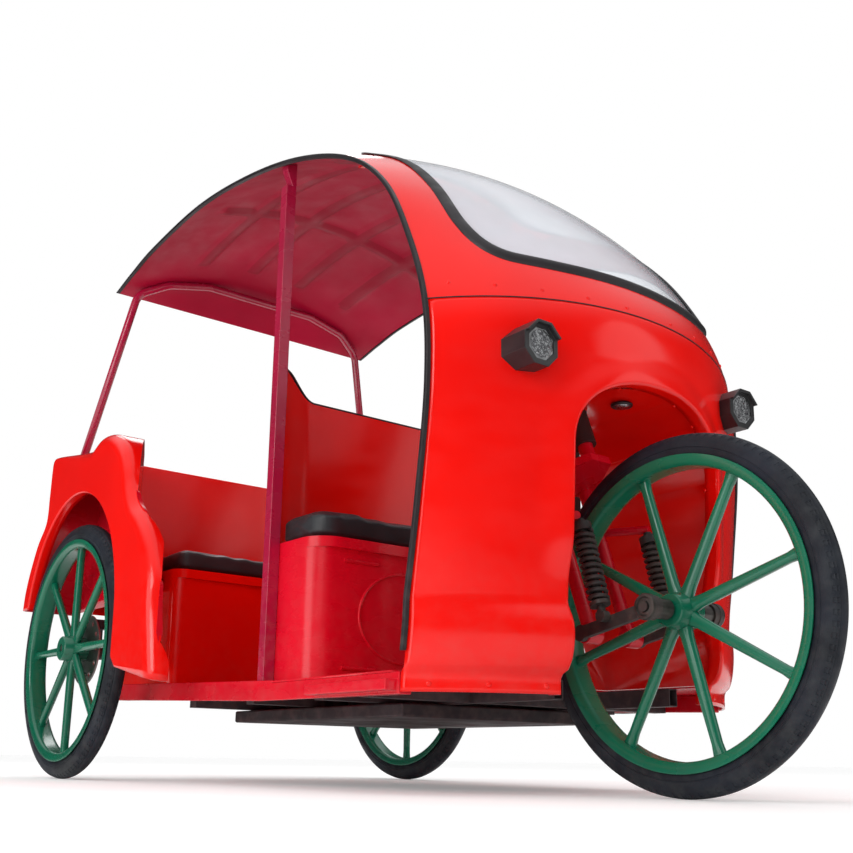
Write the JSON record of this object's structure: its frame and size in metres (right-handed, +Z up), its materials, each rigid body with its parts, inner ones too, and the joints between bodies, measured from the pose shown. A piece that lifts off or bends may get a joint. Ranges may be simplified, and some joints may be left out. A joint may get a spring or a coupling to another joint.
{
  "type": "three-wheeled electric rickshaw",
  "caption": "Three-wheeled electric rickshaw with a moulded open-sided cab, large spoked wheels, driver's seat, rear bench and a steered front wheel.",
  "frame": {"origin": "on the ground at the middle of the overall length and width", "axes": "+X forward, +Y to the left, +Z up"},
  "size_m": [2.454, 1.264, 1.7228],
  "materials": {
    "body_red": "glossy painted fibre-reinforced moulding",
    "cabin_red": "satin paint",
    "frame_paint": "satin black paint",
    "post_paint": "satin paint",
    "wheel_green": "satin paint",
    "tyre": "worn rubber",
    "black_rubber": "matt",
    "steel": "worn",
    "black_metal": "dusty black",
    "cushion": "black vinyl",
    "glass": "clear",
    "lamp_black": "satin",
    "lens": "faceted",
    "tail_red": "dark red"
  },
  "bodies": {
    "body": {"nose_shell": "body_red", "roof_shell": "body_red", "wheel_well": "body_red", "rear_quarter_right": "body_red", "rear_quarter_left": "body_red", "tail_panel": "body_red", "bench_base": "body_red", "bench_back": "body_red", "driver_base": "body_red", "driver_back": "body_red", "bench_cushion": "cushion", "driver_cushion": "cushion", "floor_pan": "cabin_red", "side_sills": "cabin_red", "chassis_frame": "cabin_red", "middle_post_right": "post_paint", "middle_post_left": "post_paint", "rear_hoop": "post_paint", "battery_box": "frame_paint", "rear_axle": "black_metal", "drive_motor": "black_metal", "leaf_springs": "black_metal", "steering_head": "black_metal", "windscreen": "glass", "roof_trim_right": "black_rubber", "roof_trim_left": "black_rubber", "door_trim_right": "black_rubber", "door_trim_left": "black_rubber", "lamp_pod_right": "lamp_black", "lamp_pod_left": "lamp_black", "lamp_lenses": "lens", "tail_lamps": "tail_red"},
    "steering": {"steering_fork": "black_metal", "link_arms": "black_metal", "front_springs": "black_metal", "front_axle": "steel", "handlebar": "steel"},
    "front_wheel": {"front_wheel": "wheel_green", "front_tyre": "tyre"},
    "rear_wheel_right": {"rear_wheel_right": "wheel_green", "rear_tyre_right": "tyre", "brake_disc_right": "steel"},
    "rear_wheel_left": {"rear_wheel_left": "wheel_green", "rear_tyre_left": "tyre", "brake_disc_left": "steel"}
  },
  "joints": [
    {"name": "steer", "type": "hinge", "parent": "body", "child": "steering", "pos_m": [0.581, 0, 0.86], "axis": [-0.342, 0, 0.9397], "range_deg": [-24, 24]},
    {"name": "front_wheel_spin", "type": "hinge", "parent": "steering", "child": "front_wheel", "pos_m": [0.869, 0, 0.358], "axis": [0, 1, 0], "continuous": true},
    {"name": "rear_right_spin", "type": "hinge", "parent": "body", "child": "rear_wheel_right", "pos_m": [-0.823, -0.596, 0.358], "axis": [0, 1, 0], "continuous": true},
    {"name": "rear_left_spin", "type": "hinge", "parent": "body", "child": "rear_wheel_left", "pos_m": [-0.823, 0.596, 0.358], "axis": [0, 1, 0], "continuous": true}
  ]
}
